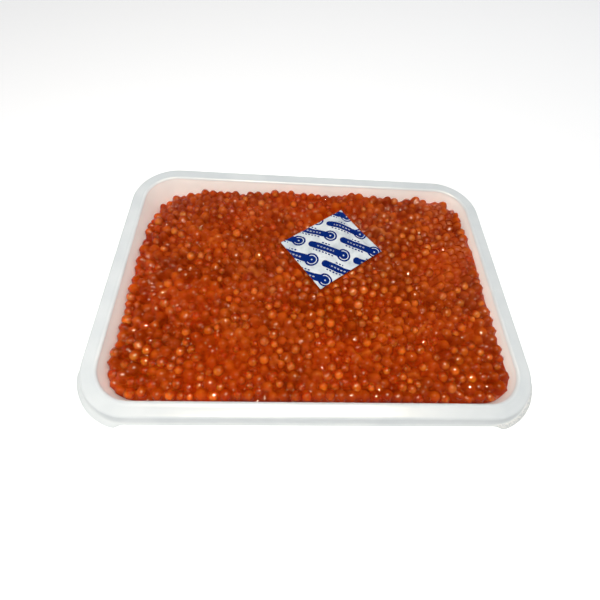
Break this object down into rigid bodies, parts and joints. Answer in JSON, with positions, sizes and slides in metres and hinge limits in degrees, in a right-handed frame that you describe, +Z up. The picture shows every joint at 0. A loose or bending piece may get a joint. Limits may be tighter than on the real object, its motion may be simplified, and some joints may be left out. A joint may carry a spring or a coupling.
{
  "type": "salmon roe in a plastic tray",
  "caption": "White rectangular plastic tray with a broad rim and corner ears, filled with glossy orange salmon roe, with a small printed paper absorber sachet lying on the eggs.",
  "frame": {"origin": "middle of the tray's flat underside", "axes": "+X along the tray's long side, +Z up, the side nearest the viewer at -Y"},
  "size_m": [0.2346, 0.1678, 0.044],
  "materials": {
    "tray": "white moulded plastic, softly glossy",
    "roe": "wet glossy orange eggs in brine",
    "sachet": "white coated paper with a blue print"
  },
  "bodies": {
    "root": {"tray": "tray", "roe": "roe", "sachet": "sachet"}
  },
  "joints": []
}
